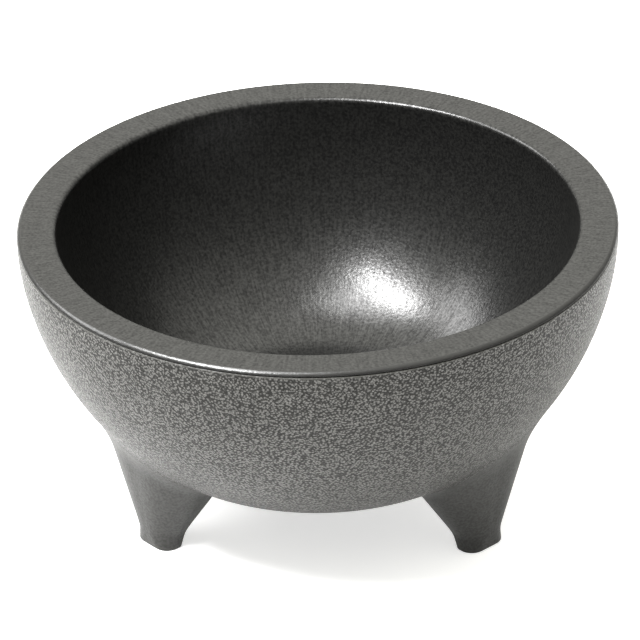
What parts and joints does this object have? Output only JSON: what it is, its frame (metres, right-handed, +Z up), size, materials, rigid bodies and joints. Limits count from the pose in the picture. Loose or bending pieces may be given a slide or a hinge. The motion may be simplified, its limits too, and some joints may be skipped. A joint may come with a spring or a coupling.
{
  "type": "molcajete bowl",
  "caption": "Wide round molcajete bowl on short flared feet, moulded in charcoal plastic, with a flat rim, a smooth satin inside and a grained outside.",
  "frame": {"origin": "on the table, under the middle of the bowl", "axes": "+Z up through the middle of the mouth, +Y towards the rear foot, +X towards the front right foot's side"},
  "size_m": [0.127, 0.127, 0.067],
  "materials": {
    "bowl_plastic": "satin, fine mould lines",
    "shell_plastic": "pebbled mould grain",
    "foot_plastic": "smooth satin"
  },
  "bodies": {
    "root": {"inner_bowl": "bowl_plastic", "outer_shell": "shell_plastic", "front_left_foot": "foot_plastic", "front_right_foot": "foot_plastic", "rear_foot": "foot_plastic"}
  },
  "joints": []
}
